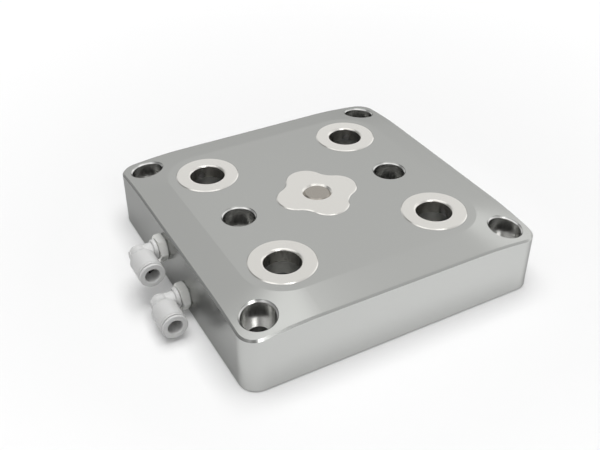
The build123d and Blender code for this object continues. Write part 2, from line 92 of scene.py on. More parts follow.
# %% [markdown]
# Colours are picked from a picture as sRGB hex values, but shaders work in
# linear light, so one function turns one into the other.  A second small
# function adds a node to a tree: it sets the node's fields, fills its inputs,
# and links any input that is given another node's output.  A third empties the
# tree that a new material or world brings with it.

# %% Colours and nodes


def srgb(text):
    """Linear colour for an sRGB hex value such as 'aabbcc'."""
    parts = [int(text[i : i + 2], 16) / 255 for i in (0, 2, 4)]
    linear = [c / 12.92 if c <= 0.04045 else ((c + 0.055) / 1.055) ** 2.4 for c in parts]
    return (*linear, 1.0)


def add(tree, kind, inputs=None, **fields):
    """Add one node with its fields, input values and links."""
    node = tree.nodes.new(kind)
    for name, value in fields.items():
        setattr(node, name, value)
    for key, value in (inputs or {}).items():
        if isinstance(value, bpy.types.NodeSocket):
            tree.links.new(value, node.inputs[key])
        else:
            node.inputs[key].default_value = value
    return node


def emptied_tree(owner):
    """Node tree of a new material or world, without its first nodes."""
    owner.use_nodes = True
    owner.node_tree.nodes.clear()
    return owner.node_tree


print("grey 808080 in linear light:", round(srgb("808080")[0], 3))

# %% [markdown]
# The picture is a product photograph on white.  A curved paper sweep would also
# do, but the camera looks down on the plate, so one large flat sheet fills the
# picture.  It lies a hair below the base, so that the two faces don't fight for
# the same pixels.

# %% Floor sheet
floor_half = 3.0
floor_level = -0.2 * MM
floor_corners = [(-1, -1), (1, -1), (1, 1), (-1, 1)]
floor_mesh = bpy.data.meshes.new("floor")
floor_mesh.from_pydata(
    [(x * floor_half, y * floor_half, floor_level) for x, y in floor_corners],
    [],
    [(0, 1, 2, 3)],
)
floor = stand("floor", floor_mesh)
print("floor side:", 2 * floor_half, "m")

# %% [markdown]
# The sheet is painted a real pale grey that catches the soft shadow.  More lamps
# would make it white, but they would light the plate as well.  So it glows
# instead, towards the camera and towards glossy parts only.  The glow that the
# camera sees is weak near the plate and grows with the distance from it, which
# paints shade on the floor round the plate and keeps the shadows close by.  The
# glow that metal mirrors is a little stronger on the right, a painted reflection
# as if a reflector stood there.  Under the plate there is no glow, so its through
# holes stay dark.

# %% How strongly the floor glows


def any_of(tree, *flags):
    """The largest of some values, so one where any flag is one."""
    total = flags[0]
    for flag in flags[1:]:
        total = add(tree, "ShaderNodeMath", {0: total, 1: flag}, operation="MAXIMUM").outputs[0]
    return total


plate_reach = 87 * MM
# Painted shade: the camera's glow is weakest next to the plate.  Painted reflection: the glow
# that metal mirrors is strongest on the right.
camera_span, camera_glow = (0.16, 0.7), (0.08, 0.36)
mirrored_span, mirrored_glow = (-100 * MM, 100 * MM), (0.07, 0.22)

floor_paint = bpy.data.materials.new("white_studio_floor")
paint_tree = emptied_tree(floor_paint)
paint_rays = add(paint_tree, "ShaderNodeLightPath").outputs
on_floor = add(paint_tree, "ShaderNodeTexCoord").outputs["Object"]
to_right = add(paint_tree, "ShaderNodeSeparateXYZ", {0: on_floor}).outputs["X"]
far_off = add(paint_tree, "ShaderNodeVectorMath", {0: on_floor}, operation="LENGTH")
glows = []
for measure, (start, end), (weak, strong) in [
    (far_off.outputs["Value"], camera_span, camera_glow),
    (to_right, mirrored_span, mirrored_glow),
]:
    ranges = {"From Min": start, "From Max": end, "To Min": weak, "To Max": strong}
    glow = add(paint_tree, "ShaderNodeMapRange", {"Value": measure, **ranges})
    glows.append(glow.outputs[0])

shown_glow, metal_glow = glows
glow_now = add(
    paint_tree,
    "ShaderNodeMapRange",
    {"Value": paint_rays["Is Glossy Ray"], "To Min": shown_glow, "To Max": metal_glow},
).outputs[0]
folded_floor = add(
    paint_tree, "ShaderNodeVectorMath", {0: on_floor}, operation="ABSOLUTE"
).outputs[0]
floor_sides = add(paint_tree, "ShaderNodeSeparateXYZ", {0: folded_floor}).outputs
from_middle = any_of(paint_tree, floor_sides["X"], floor_sides["Y"])
outside = add(
    paint_tree, "ShaderNodeMath", {0: from_middle, 1: plate_reach}, operation="GREATER_THAN"
).outputs[0]
floor_glow = add(
    paint_tree, "ShaderNodeMath", {0: outside, 1: glow_now}, operation="MULTIPLY"
).outputs[0]
print("glow seen by the camera:", camera_glow, "and mirrored by metal:", mirrored_glow)

# %% The floor's paint
paint = add(paint_tree, "ShaderNodeBsdfDiffuse", {"Color": srgb("e0e0e0")}).outputs[0]
glowing = add(
    paint_tree, "ShaderNodeEmission", {"Color": srgb("ffffff"), "Strength": floor_glow}
).outputs[0]
glowing_paint = add(paint_tree, "ShaderNodeAddShader", {0: paint, 1: glowing}).outputs[0]
sees_glow = any_of(
    paint_tree,
    paint_rays["Is Camera Ray"],
    paint_rays["Is Glossy Ray"],
    paint_rays["Is Transmission Ray"],
)
floor_look = add(paint_tree, "ShaderNodeMixShader", {0: sees_glow, 1: paint, 2: glowing_paint})
add(paint_tree, "ShaderNodeOutputMaterial", {"Surface": floor_look.outputs[0]})
floor_mesh.materials.append(floor_paint)
print("nodes in the floor's paint:", len(paint_tree.nodes))

# %% [markdown]
# Bare metal has no colour of its own to show: it shows the room.  A picture of a
# real studio could be wrapped round the scene, but a few drawn tones are easier
# to adjust.  The room is a pale dome that is brightest on the right and falls to
# grey on the left, so that the faces of the plate differ in tone.  It is lifted
# at the back and near the horizon, and lowered behind the camera.  The dome
# lights paint and plastic only weakly, because their light comes from a panel
# above.  The camera, and anything seen through a clear part, get the same room
# as plain white.

# %% The tones of the room
dome_tones = [(0.0, 0.28), (0.2, 0.3), (0.52, 0.69), (0.68, 0.80), (0.88, 0.85), (0.97, 1.0)]
# Each row is an axis, the stretch of it that is changed and the gain at both ends.
dome_gains = [
    ("Y", (0.6, 0.9), (1.0, 1.1)),
    ("Z", (0.0, 0.6), (1.22, 1.0)),
    ("Y", (-0.7, -0.3), (0.75, 1.0)),
]

world = bpy.data.worlds.new("studio_dome")
dome_tree = emptied_tree(world)
outlook = add(dome_tree, "ShaderNodeTexCoord").outputs["Generated"]
direction = add(dome_tree, "ShaderNodeSeparateXYZ", {0: outlook}).outputs
left_to_right = add(
    dome_tree,
    "ShaderNodeMapRange",
    {"Value": direction["X"], "From Min": -1.0, "From Max": 1.0},
).outputs[0]
dome_tone = add(dome_tree, "ShaderNodeValToRGB", {0: left_to_right})
ramp = dome_tone.color_ramp
ramp.interpolation = "EASE"
# A new stop starts halfway along the ramp and gets its own place afterwards.
while len(ramp.elements) < len(dome_tones):
    ramp.elements.new(0.5)
for element, (position, grey) in zip(ramp.elements, dome_tones):
    element.position = position
    element.color = (grey, grey, grey, 1.0)

dome_gain = 1.0
for axis, (start, end), (first_gain, last_gain) in dome_gains:
    ranges = {"From Min": start, "From Max": end, "To Min": first_gain, "To Max": last_gain}
    gain = add(dome_tree, "ShaderNodeMapRange", {"Value": direction[axis], **ranges})
    dome_gain = add(
        dome_tree, "ShaderNodeMath", {0: dome_gain, 1: gain.outputs[0]}, operation="MULTIPLY"
    ).outputs[0]
print("dome tones from left to right:", [grey for position, grey in dome_tones])

# %% Who sees which room
soft_strength = 0.3
rooms = []
for colour, brightness in [
    (dome_tone.outputs[0], soft_strength),
    (dome_tone.outputs[0], dome_gain),
    (srgb("ffffff"), 1.0),
]:
    light = add(dome_tree, "ShaderNodeBackground", {"Color": colour, "Strength": brightness})
    rooms.append(light.outputs[0])
soft_room, gloss_room, white_room = rooms
dome_rays = add(dome_tree, "ShaderNodeLightPath").outputs
room = add(
    dome_tree,
    "ShaderNodeMixShader",
    {0: dome_rays["Is Glossy Ray"], 1: soft_room, 2: gloss_room},
).outputs[0]
sees_white = any_of(dome_tree, dome_rays["Is Camera Ray"], dome_rays["Is Transmission Ray"])
surround = add(dome_tree, "ShaderNodeMixShader", {0: sees_white, 1: room, 2: white_room})
add(dome_tree, "ShaderNodeOutputWorld", {"Surface": surround.outputs[0]})
bpy.context.scene.world = world
bpy.context.scene.view_settings.view_transform = "Standard"
print("rooms, for soft rays, glossy rays and the camera:", len(rooms))

# %% [markdown]
# Point lamps would leave hard sparks on bare metal, so five soft panels do the
# lighting.  The broad one hangs above: edges and the cones at the corners of the
# plate mirror it as bright lines, while the flat top looks past it.  The second
# stands to the right and gives the shadows their side.  The third is in front,
# where the walls of the bores find it and show a spark.  The fourth, on the left,
# draws the near rims of the light rings.  The top panel is the main light for the
# floor and the fittings and gives them close, dark shadows.  Metal doesn't mirror
# it, or the rings would burn out from above.

# %% Lamps


def panel(name, spot, width, depth, power, turned=True):
    """Soft box that faces the plate, or straight down where it isn't turned."""
    lamp = bpy.data.lights.new(name, "AREA")
    lamp.shape = "RECTANGLE"
    lamp.size = width
    lamp.size_y = depth
    lamp.energy = power
    holder = stand(name, lamp)
    holder.location = spot
    if turned:
        holder.rotation_euler = (-Vector(spot)).to_track_quat("-Z", "Y").to_euler()
    print(name, "glows at", round(power / math.pi / width / depth, 2), "of white")
    return holder


panel("overhead_panel", (-0.44, -0.2, 1.1), width=1.68, depth=1.5, power=4.8, turned=False)
panel("right_panel", (1.25, 0.65, 1.0), width=0.6, depth=0.5, power=0.35)
panel("front_panel", (-0.1, -1.35, 1.1), width=0.6, depth=0.5, power=3.4)
panel("left_panel", (-1.0, -0.3, 1.05), width=0.9, depth=0.6, power=0.7)
top_panel = panel("top_panel", (0.0, 0.0, 2.2), width=1.8, depth=1.8, power=40.0, turned=False)
top_panel.visible_glossy = False

# %% [markdown]
# Finishes.  Each one starts from the real material and how its surface was
# made.  `finish` makes the part that they share: a Principled shader, object
# coordinates in metres, and an optional shift that centres a turned pattern on
# its own part.  Then a pattern may drive what the eye notices in a surface.
# `tint` lets it change the colour, and `grain` the roughness and the relief.

# %% The shared start of every finish

# A Mix node has a pair of inputs for each kind of data.  These are its colours.
COLOUR_A, COLOUR_B, COLOUR_OUT = 6, 7, 2


def finish(name, colour, metallic, roughness, centre=(0, 0, 0)):
    """Material with its shader and a centred object coordinate."""
    material = bpy.data.materials.new(name)
    tree = emptied_tree(material)
    shader = add(
        tree,
        "ShaderNodeBsdfPrincipled",
        {"Base Color": srgb(colour), "Metallic": metallic, "Roughness": roughness},
    )
    add(tree, "ShaderNodeOutputMaterial", {"Surface": shader.outputs[0]})
    coords = add(tree, "ShaderNodeTexCoord").outputs["Object"]
    shift = [-c for c in centre]
    centred = add(tree, "ShaderNodeMapping", {"Vector": coords, "Location": shift})
    return material, tree, shader, centred.outputs[0]


def tint(tree, shader, pattern, colour, other):
    """Let the base colour wander between two close hex colours."""
    shades = {"Factor": pattern, COLOUR_A: srgb(colour), COLOUR_B: srgb(other)}
    mix = add(tree, "ShaderNodeMix", shades, data_type="RGBA")
    tree.links.new(mix.outputs[COLOUR_OUT], shader.inputs["Base Color"])


def grain(tree, shader, pattern, roughness, swing, depth):
    """Let the roughness swing to both sides, and raise the pattern by a depth."""
    low, high = roughness - swing, roughness + swing
    wander = add(tree, "ShaderNodeMapRange", {"Value": pattern, "To Min": low, "To Max": high})
    tree.links.new(wander.outputs[0], shader.inputs["Roughness"])
    bump = add(tree, "ShaderNodeBump", {"Height": pattern, "Distance": depth, "Strength": 1.0})
    tree.links.new(bump.outputs[0], shader.inputs["Normal"])


print("one millimetre in a pattern's units:", MM)

# %% [markdown]
# The housing is aluminium, finely milled and then hard anodised in a clear grey.
# The skin keeps a soft mirror, and the cutter leaves faint upright streaks on
# the sides.  The streaks are real at about 0.2 mm, which is too fine for the
# picture, so they are drawn about 1.2 mm wide and very faint.  Modelling them
# would cost a million faces, while a noise that is drawn out along the height
# costs none.  The flat faces have no streaks and only a slow, cloudy change.
# The sides are given a slightly lighter grey than the flat top, which is painted
# light on the upright faces.

# %% The milled skin
streak_width = 1.2 * MM
streak_squash = 0.02
streak_depth = 0.0004 * MM
cloud_width = 35 * MM
skin_swing = 0.015


def milled_skin(tree, place, level, colour, side, roughness):
    """Colour, roughness and ridges of the skin: cloudy where level, streaked and painted
    lighter on a side.
    """
    on_side = add(tree, "ShaderNodeMath", {0: 1.0, 1: level}, operation="SUBTRACT").outputs[0]
    squashed = add(
        tree, "ShaderNodeVectorMath", {0: place, 1: (1, 1, streak_squash)}, operation="MULTIPLY"
    ).outputs[0]
    patterns = []
    for vector, width in ((squashed, streak_width), (place, cloud_width)):
        noise = add(
            tree, "ShaderNodeTexNoise", {"Vector": vector, "Scale": 1 / width, "Detail": 3.0}
        )
        patterns.append(noise.outputs["Fac"])
    streaks, clouds = patterns
    mark = add(tree, "ShaderNodeMix", {"Factor": on_side, "A": clouds, "B": streaks}).outputs[0]
    low, high = roughness - skin_swing, roughness + skin_swing
    rough = add(tree, "ShaderNodeMapRange", {"Value": mark, "To Min": low, "To Max": high})
    # Painted light: a side gets its own, lighter grey.
    shades = {"Factor": on_side, COLOUR_A: srgb(colour), COLOUR_B: srgb(side)}
    shade = add(tree, "ShaderNodeMix", shades, data_type="RGBA")
    ridges = add(tree, "ShaderNodeMath", {0: on_side, 1: streaks}, operation="MULTIPLY")
    return shade.outputs[COLOUR_OUT], rough.outputs[0], ridges.outputs[0]


print("streaks are drawn", round(streak_width / MM, 1), "mm wide")

# %% [markdown]
# The holes are bored after anodising, so their walls are bright, and the faces
# that the end mill has left level in them are smoother still.  In the head bores
# these level faces are also a brighter grey than the walls, partly from the end
# mill and partly a painted highlight.  Each wall could have its own material
# slot, but the housing is one mesh of loose triangles, so a mask that measures
# the distance from each hole's axis finds the walls instead.

# %% Masks for holes, and one finish over another


def hole_mask(tree, place, spot, inner, outer):
    """One between two radii round the axes that stand at (+-x, +-y), else zero."""
    folded = add(tree, "ShaderNodeVectorMath", {0: place}, operation="ABSOLUTE").outputs[0]
    axis = (spot[0] * MM, spot[1] * MM, 0)
    offset = add(tree, "ShaderNodeVectorMath", {0: folded, 1: axis}, operation="SUBTRACT")
    flat = add(
        tree, "ShaderNodeVectorMath", {0: offset.outputs[0], 1: (1, 1, 0)}, operation="MULTIPLY"
    )
    away = add(tree, "ShaderNodeVectorMath", {0: flat.outputs[0]}, operation="LENGTH")
    middle, half = (inner + outer) / 2 * MM, (outer - inner) / 2 * MM
    inside = {0: away.outputs["Value"], 1: middle, 2: half}
    return add(tree, "ShaderNodeMath", inside, operation="COMPARE").outputs[0]


def lay_over(tree, mask, under, over):
    """Pass from one pair of colour and roughness to another with a mask."""
    shades = {"Factor": mask, COLOUR_A: under[0], COLOUR_B: over[0]}
    shade = add(tree, "ShaderNodeMix", shades, data_type="RGBA")
    rough = add(tree, "ShaderNodeMix", {"Factor": mask, "A": under[1], "B": over[1]})
    return shade.outputs[COLOUR_OUT], rough.outputs[0]


shank_reach, head_reach, socket_reach, cover_screw_reach = 5.8, 9.6, 10.4, 5.2
corner_bolt, middle_bolt, socket_axis, cover_screw_axis = (76, 76), (50, 0), (48, 48), (33, 33)
print("socket walls are looked for within", socket_reach, "mm of their axes")

# %% [markdown]
# Now the skin, the edges and the bores are laid over each other in one material.
# The 45 degree edges are broken with a chamfer cutter and left duller, and they
# are given a darker grey, which is painted shade that tones down the light the
# chamfers catch.  They are found by how steep they are.  The oxide skin swallows
# light that skims along it, so the tint that the shader shows at a grazing angle
# is darker than bare metal's.

# %% Anodised aluminium
oxide_edge = "b2b2b2"
edge_roughness = 0.3
edge_steepness, edge_tolerance = math.sqrt(0.5), 0.04


def anodised_aluminium(name, colour, side, shaded_edge, roughness, bores):
    """Satin grey metal with faint upright streaks, bright bores and painted light: lighter
    sides, darker dull edges and brighter bore bottoms.
    """
    material, tree, shader, place = finish(name, colour, 1.0, roughness)
    shader.inputs["Specular Tint"].default_value = srgb(oxide_edge)
    facing = add(tree, "ShaderNodeNewGeometry").outputs["Normal"]
    upward = add(tree, "ShaderNodeSeparateXYZ", {0: facing}).outputs["Z"]
    level = add(tree, "ShaderNodeMath", {0: upward}, operation="ABSOLUTE").outputs[0]
    shade, rough, ridges = milled_skin(tree, place, level, colour, side, roughness)
    # Painted shade: the 45 degree edges get a darker grey.
    steep = {0: level, 1: edge_steepness, 2: edge_tolerance}
    on_edge = add(tree, "ShaderNodeMath", steep, operation="COMPARE").outputs[0]
    shade, rough = lay_over(tree, on_edge, (shade, rough), (srgb(shaded_edge), edge_roughness))
    # Painted highlight, in part: the level faces of the head bores are a brighter grey.
    for (wall, wall_roughness), (bottom, bottom_roughness), holes in bores:
        bored = any_of(tree, *[hole_mask(tree, place, *hole) for hole in holes])
        cut = lay_over(
            tree, level, (srgb(wall), wall_roughness), (srgb(bottom), bottom_roughness)
        )
        shade, rough = lay_over(tree, bored, (shade, rough), cut)
    bump = add(
        tree, "ShaderNodeBump", {"Height": ridges, "Distance": streak_depth, "Strength": 1.0}
    )
    tree.links.new(shade, shader.inputs["Base Color"])
    tree.links.new(rough, shader.inputs["Roughness"])
    tree.links.new(bump.outputs[0], shader.inputs["Normal"])
    return material


print("edges are found at", round(math.degrees(math.acos(edge_steepness))), "degrees")

# %% The finish of the housing and that of the cover

# Each row is the finish of the walls, that of the level faces, and the holes.
housing_bores = [
    # In the head bores the level faces are a brighter grey than the walls, partly a painted
    # highlight.
    (
        ("c8c8c6", 0.27),
        ("dededc", 0.21),
        [(corner_bolt, shank_reach, head_reach), (middle_bolt, shank_reach, head_reach)],
    ),
    (
        ("c4c4c2", 0.36),
        ("c4c4c2", 0.3),
        [(corner_bolt, 0, shank_reach), (middle_bolt, 0, shank_reach)],
    ),
    (("dcdcda", 0.34), ("dcdcda", 0.28), [(socket_axis, 0, socket_reach)]),
]
cover_bores = [(("d8d8d6", 0.31), ("d8d8d6", 0.25), [(cover_screw_axis, 0, cover_screw_reach)])]
housing_grey = anodised_aluminium(
    "clear_anodised_aluminium",
    colour="bdbebb",
    # painted light on the sides
    side="c2c3c1",
    # painted shade on the edges
    shaded_edge="abaca9",
    roughness=0.22,
    bores=housing_bores,
)
cover_grey = anodised_aluminium(
    "anodised_cover",
    colour="b4b5b2",
    # painted light on the sides
    side="bebfbc",
    # painted shade on the edges
    shaded_edge="a3a4a1",
    roughness=0.30,
    bores=cover_bores,
)
print("nodes in the housing's finish:", len(housing_grey.node_tree.nodes))

# %% [markdown]
# The socket bushes and the centre seat are hardened steel, face ground and honed.
# Grinding leaves fine lines, so the metal is bright with a faint grain.  The real
# lines lie less than 0.1 mm apart, which is too fine for the picture, so they are
# drawn 0.4 to 0.5 mm apart.  A picture of scratches would have to be laid on each
# face, while a noise in space fits them all.  On a turned part the lines run round
# its own axis, so the noise reads only the distance from that axis.  On a ground
# part they run straight, so its coordinate is squashed along them.

# %% Ground and turned steel
line_swing = 0.05
line_squash = 0.02
turned_cloud_width = 12 * MM


def tool_marks(tree, shader, vector, spacing, roughness, depth):
    """Fine lines across a vector, in the roughness and in the relief."""
    lines = add(
        tree, "ShaderNodeTexNoise", {"Vector": vector, "Scale": 1 / spacing, "Detail": 3.0}
    ).outputs["Fac"]
    grain(tree, shader, lines, roughness, line_swing, depth)
    return lines


def turned_steel(name, colour, other, roughness, spacing, depth, centre=(0, 0, 0)):
    """Bright metal with fine rings round an upright axis."""
    material, tree, shader, place = finish(name, colour, 1.0, roughness, centre)
    flat = add(tree, "ShaderNodeVectorMath", {0: place, 1: (1, 1, 0)}, operation="MULTIPLY")
    radius = add(tree, "ShaderNodeVectorMath", {0: flat.outputs[0]}, operation="LENGTH")
    across = add(tree, "ShaderNodeCombineXYZ", {"X": radius.outputs["Value"]}).outputs[0]
    tool_marks(tree, shader, across, spacing, roughness, depth)
    clouds = add(
        tree,
        "ShaderNodeTexNoise",
        {"Vector": place, "Scale": 1 / turned_cloud_width, "Detail": 2.0},
    ).outputs["Fac"]
    tint(tree, shader, clouds, colour, other)
    return material


def ground_steel(name, colour, other, roughness, spacing, depth):
    """Bright metal with fine straight lines along Y."""
    material, tree, shader, place = finish(name, colour, 1.0, roughness)
    squashed = add(
        tree, "ShaderNodeVectorMath", {0: place, 1: (1, line_squash, 1)}, operation="MULTIPLY"
    ).outputs[0]
    lines = tool_marks(tree, shader, squashed, spacing, roughness, depth)
    tint(tree, shader, lines, colour, other)
    return material


print("ground lines are", round(1 / line_squash), "times as long as wide")

# %% The steel parts and the piston
honed = {
    "colour": "e9e7e2",
    "other": "e5e3de",
    "roughness": 0.22,
    "spacing": 0.5 * MM,
    "depth": 0.0002 * MM,
}
bush_steel = {}
for name in nodes:
    if name.startswith("socket_bush"):
        low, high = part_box(name)
        middle = (low + high) / 2
        bush_axis = (middle.x, middle.y, 0)
        bush_steel[name] = turned_steel("honed_" + name, centre=bush_axis, **honed)
seat_steel = ground_steel("face_ground_steel", **honed)
plug_steel = turned_steel(
    "turned_plug_steel", "aca79f", "a7a29a", 0.26, spacing=0.4 * MM, depth=0.0004 * MM
)
slide_steel = ground_steel(
    "hardened_ground_steel", "6e6e6f", "646466", 0.36, spacing=0.5 * MM, depth=0.001 * MM
)
piston_metal = turned_steel(
    "turned_piston_aluminium", "bfc0c0", "b6b7b7", 0.34, spacing=0.4 * MM, depth=0.002 * MM
)
print("bushes with rings round their own axis:", len(bush_steel))

# %% [markdown]
# Screws are black oxide on steel, springs are drawn wire, the tube grips are
# stamped from stainless plate, and the studs are nickel plated brass.  Black
# oxide is a thin conversion layer, so it is dark but still has the gleam of
# metal.  Nickel plate is matt here and faintly warm.  None of them shows a
# direction, so they need neither rings nor lines, and a cloudy noise is enough.

# %% Screws, wire and plated studs
cloud_swing = 0.06
cloud_depth = 0.002 * MM


def even_metal(name, colour, other, roughness, patch):
    """Plain metal with a slow change of tone."""
    material, tree, shader, place = finish(name, colour, 1.0, roughness)
    clouds = add(
        tree, "ShaderNodeTexNoise", {"Vector": place, "Scale": 1 / patch, "Detail": 4.0}
    ).outputs["Fac"]
    tint(tree, shader, clouds, colour, other)
    grain(tree, shader, clouds, roughness, cloud_swing, cloud_depth)
    return material


black_oxide = even_metal("black_oxide_steel", "3a3a3b", "303031", 0.38, patch=1.5 * MM)
spring_wire = even_metal("drawn_spring_wire", "8f8f92", "86868a", 0.32, patch=1.0 * MM)
grip_steel = even_metal("stamped_stainless", "c3c3c3", "b8b8b8", 0.28, patch=1.0 * MM)
nickel = even_metal("matt_nickel_plated_brass", "ecece9", "e6e6e3", 0.52, patch=3.0 * MM)
print("small metal finishes:", black_oxide.name, spring_wire.name, grip_steel.name, nickel.name)

# %% [markdown]
# The elbows and release sleeves are injection moulded from filled resin.  The
# mould is polished, so the skin is smooth with a broad soft highlight, and the
# flow of the filled resin leaves a barely visible unevenness.  The washers are
# duller nylon.  Seals are nitrile rubber, which is nearly black and dull.  A
# plain colour would do from afar, but a little unevenness breaks the highlight
# the way a moulded skin does.

# %% Moulded resin and rubber
resin_ior = 1.5
flow_swing = 0.05


def moulded(name, colour, other, roughness, patch, depth):
    """Smooth moulded skin with a faint unevenness."""
    material, tree, shader, place = finish(name, colour, 0.0, roughness)
    shader.inputs["IOR"].default_value = resin_ior
    flow = add(
        tree, "ShaderNodeTexNoise", {"Vector": place, "Scale": 1 / patch, "Detail": 3.0}
    ).outputs["Fac"]
    tint(tree, shader, flow, colour, other)
    grain(tree, shader, flow, roughness, flow_swing, depth)
    return material


elbow_resin = moulded("moulded_grey_resin", "c5c5c4", "c2c2c1", 0.34, 2.5 * MM, 0.01 * MM)
sleeve_resin = moulded("moulded_sleeve_resin", "c8c8c7", "c4c4c3", 0.34, 2.5 * MM, 0.008 * MM)
nylon = moulded("nylon_washer", "c9c9c7", "c3c3c1", 0.5, 1.5 * MM, 0.008 * MM)
rubber = moulded("nitrile_rubber", "262626", "1f1f1f", 0.62, 0.8 * MM, 0.02 * MM)
print("plastic finishes:", elbow_resin.name, sleeve_resin.name, nylon.name, rubber.name)

# %% [markdown]
# Every part gets the finish of its material slot in the record, so nothing is
# left in a plain colour.  The bushes are the one exception: each has a finish
# that is centred on its own axis.

# %% Dressing the parts
slot_finish = {
    "housing_finish": housing_grey,
    "cover_finish": cover_grey,
    "ground_steel": seat_steel,
    "plug_steel": plug_steel,
    "hardened_steel": slide_steel,
    "piston_aluminium": piston_metal,
    "spring_steel": spring_wire,
    "black_screws": black_oxide,
    "seal_rubber": rubber,
    "gasket_nylon": nylon,
    "stud_nickel": nickel,
    "fitting_resin": elbow_resin,
    "sleeve_resin": sleeve_resin,
}
slot_of = {row["node"]: row["material_slot"] for row in frame["record"]["subparts"]}
for name, part in nodes.items():
    chosen = bush_steel.get(name, slot_finish[slot_of[name]])
    part.data.materials.clear()
    part.data.materials.append(chosen)
print("parts dressed:", len(nodes), "from slots:", len(set(slot_of.values())))

# %% [markdown]
# Hardware that repeats is made once and copied by Geometry Nodes, as a real
# maker buys one screw and fits four.  A loop in Python could place the copies
# too, but a tree keeps their number and their circle as inputs with names.  A
# modifier runs the tree on a mesh and takes each value by its input's identifier.
# The result is then kept as a plain mesh, and the modifier goes.

# %% The start and the end of every tree


def new_tree(name, inputs):
    """Empty geometry tree with named inputs and one geometry output."""
    tree = bpy.data.node_groups.new(name, "GeometryNodeTree")
    tree.interface.new_socket("Geometry", in_out="INPUT", socket_type="NodeSocketGeometry")
    for label, kind in inputs.items():
        tree.interface.new_socket(label, in_out="INPUT", socket_type="NodeSocket" + kind)
    tree.interface.new_socket("Geometry", in_out="OUTPUT", socket_type="NodeSocketGeometry")
    return tree, tree.nodes.new("NodeGroupInput").outputs


def close_tree(tree, given, geometry):
    """Make the copies real, set the finish and join the output."""
    real = add(tree, "GeometryNodeRealizeInstances", {"Geometry": geometry})
    painted = add(
        tree,
        "GeometryNodeSetMaterial",
        {"Geometry": real.outputs[0], "Material": given["Finish"]},
    )
    add(tree, "NodeGroupOutput", {"Geometry": painted.outputs[0]})


def grown(name, mesh, tree, values):
    """Run a geometry tree on a mesh and keep the result as a plain object."""
    piece = stand(name, mesh)
    modifier = piece.modifiers.new("tree", "NODES")
    modifier.node_group = tree
    for item in tree.interface.items_tree:
        if item.in_out == "INPUT" and item.name in values:
            modifier[item.identifier] = values[item.name]
    seen_by = bpy.context.evaluated_depsgraph_get()
    result = bpy.data.meshes.new_from_object(piece.evaluated_get(seen_by))
    piece.modifiers.remove(modifier)
    piece.data = result
    print(name, "faces:", len(result.polygons))
    return piece


# %% [markdown]
# The first tree takes the piece's own mesh and stands copies of it round a
# circle, each turned to face outwards.  A copy's angle is its share of a full
# turn, added to the first angle.

# %% A tree that fits copies round a circle
ring_tree, ring_inputs = new_tree(
    "copies_round_a_circle",
    {"Count": "Int", "Circle Radius": "Float", "First Angle": "Float", "Finish": "Material"},
)
circle = add(
    ring_tree,
    "GeometryNodeMeshCircle",
    {"Vertices": ring_inputs["Count"], "Radius": ring_inputs["Circle Radius"]},
)
first_turn = add(ring_tree, "ShaderNodeCombineXYZ", {"Z": ring_inputs["First Angle"]})
turned_circle = add(
    ring_tree,
    "GeometryNodeTransform",
    {"Geometry": circle.outputs[0], "Rotation": first_turn.outputs[0]},
)
copy_number = add(ring_tree, "GeometryNodeInputIndex").outputs[0]
copy_share = add(
    ring_tree, "ShaderNodeMath", {0: copy_number, 1: ring_inputs["Count"]}, operation="DIVIDE"
).outputs[0]
copy_angle = add(
    ring_tree,
    "ShaderNodeMath",
    {0: copy_share, 1: math.tau, 2: ring_inputs["First Angle"]},
    operation="MULTIPLY_ADD",
).outputs[0]
outwards = add(ring_tree, "ShaderNodeCombineXYZ", {"Z": copy_angle}).outputs[0]
ring_copies = add(
    ring_tree,
    "GeometryNodeInstanceOnPoints",
    {
        "Points": turned_circle.outputs[0],
        "Instance": ring_inputs["Geometry"],
        "Rotation": outwards,
    },
)
close_tree(ring_tree, ring_inputs, ring_copies.outputs[0])
print("nodes in the circle tree:", len(ring_tree.nodes))

# %% [markdown]
# A countersunk screw has a cone for a head, a hexagonal socket for its key and a
# thread.  It is built like a turned part, as a profile spun round an axis.
# `rows` gives the profile as radius and height, and a row may also say that its
# radius follows a hexagon or a thread.  The thread is a ridge that climbs one
# pitch in each turn.  A Screw modifier could cut it as well, but rows of points
# need no cleaning where the thread runs out.

# %% A closed skin over rows of points


def hexagon_reach(angle, across_flats):
    """Distance from the middle to the side of a hexagon in one direction."""
    into_side = math.fmod(angle, math.pi / 3) - math.pi / 6
    return across_flats / 2 / math.cos(into_side)


def closed_loft(name, loops):
    """Mesh that skins a row of equal loops of points and closes both ends."""
    shape = bmesh.new()
    made = [[shape.verts.new(point) for point in loop] for loop in loops]
    for lower, upper in zip(made, made[1:]):
        for step in range(len(lower)):
            after = (step + 1) % len(lower)
            shape.faces.new((lower[step], lower[after], upper[after], upper[step]))
    shape.faces.new(list(reversed(made[0])))
    shape.faces.new(made[-1])
    bmesh.ops.recalc_face_normals(shape, faces=shape.faces)
    mesh = bpy.data.meshes.new(name)
    shape.to_mesh(mesh)
    shape.free()
    return mesh


print("a 3 mm key reaches", round(hexagon_reach(0, 3.0), 3), "mm at its corners")

# %% A screw from rows of points
screw_sides = 48
rows_per_turn = 6
groove_share = 0.54
drill_width, drill_point = 0.35, 0.25
key_bevel, key_bevel_depth = 0.2, 0.25
head_bevel, head_bevel_depth = 0.2, 0.15
plain_neck, thread_stop, point_bevel = 0.4, 0.5, 0.3


